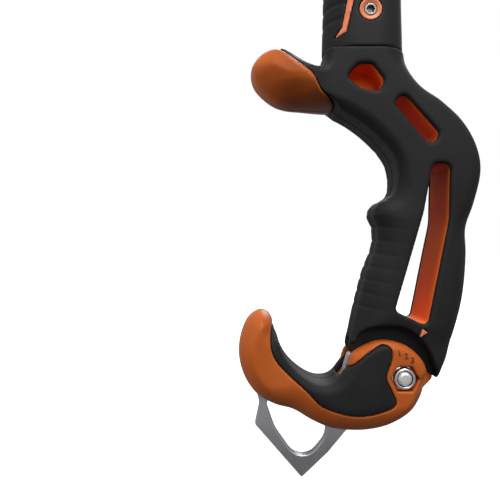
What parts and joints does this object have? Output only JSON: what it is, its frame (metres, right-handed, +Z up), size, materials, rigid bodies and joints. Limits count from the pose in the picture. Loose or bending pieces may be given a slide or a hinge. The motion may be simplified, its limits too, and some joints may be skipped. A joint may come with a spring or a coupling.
{
  "type": "technical ice axe",
  "caption": "Ice axe with a bent shaft, toothed pick and hammer, a hollow offset handle with a flared finger rest, and an adjustable hooked grip rest with a spike.",
  "frame": {"origin": "centre of the clip-in eye through the head", "axes": "+Z up the shaft towards the head, -X towards the pick, +X towards the hammer, +Y across the thickness, along the eye and the pivot bolt"},
  "size_m": [0.2379, 0.038, 0.5133],
  "materials": {
    "grip_rubber": "soft-touch matt black, moulded",
    "orange_shell": "orange glass-filled nylon, satin",
    "orange_core": "orange moulded core, satin",
    "orange_inlay": "salmon-orange soft inlay, satin",
    "spike_steel": "blasted face, bright ground edges",
    "pick_steel": "blasted face, bright ground edges",
    "hammer_steel": "forged, blasted, polished face",
    "head_alloy": "hard-anodised dark grey forging",
    "shaft_alloy": "satin black anodised tube",
    "zinc": "zinc-plated fastener",
    "nylon": "dark blue nylon ring"
  },
  "bodies": {
    "tool": {"head": "head_alloy", "pick": "pick_steel", "pick_bolts": "zinc", "pick_nuts": "zinc", "hammer": "hammer_steel", "head_pins": "zinc", "shaft_tube": "shaft_alloy", "upper_grip": "grip_rubber", "grip_stripe_left": "orange_inlay", "grip_stripe_right": "orange_inlay", "collar_left": "orange_inlay", "collar_right": "orange_inlay", "cross_bolt": "zinc", "cross_nut": "zinc", "handle_core": "orange_core", "grip_left": "grip_rubber", "grip_right": "grip_rubber", "finger_rest_pad": "orange_shell", "index_mark_left": "orange_inlay", "index_mark_right": "orange_inlay"},
    "griprest": {"griprest_left": "orange_shell", "griprest_right": "orange_shell", "griprest_pad": "grip_rubber", "spike": "spike_steel", "spike_pins": "zinc", "shell_screws": "zinc", "thrust_washers": "zinc", "pivot_bolt": "zinc", "lock_nut": "zinc", "nylon_ring": "nylon"}
  },
  "joints": [
    {"name": "griprest_pivot", "type": "hinge", "parent": "tool", "child": "griprest", "pos_m": [0.056, 0, -0.436], "axis": [0, 1, 0], "range_deg": [0, 26]}
  ]
}
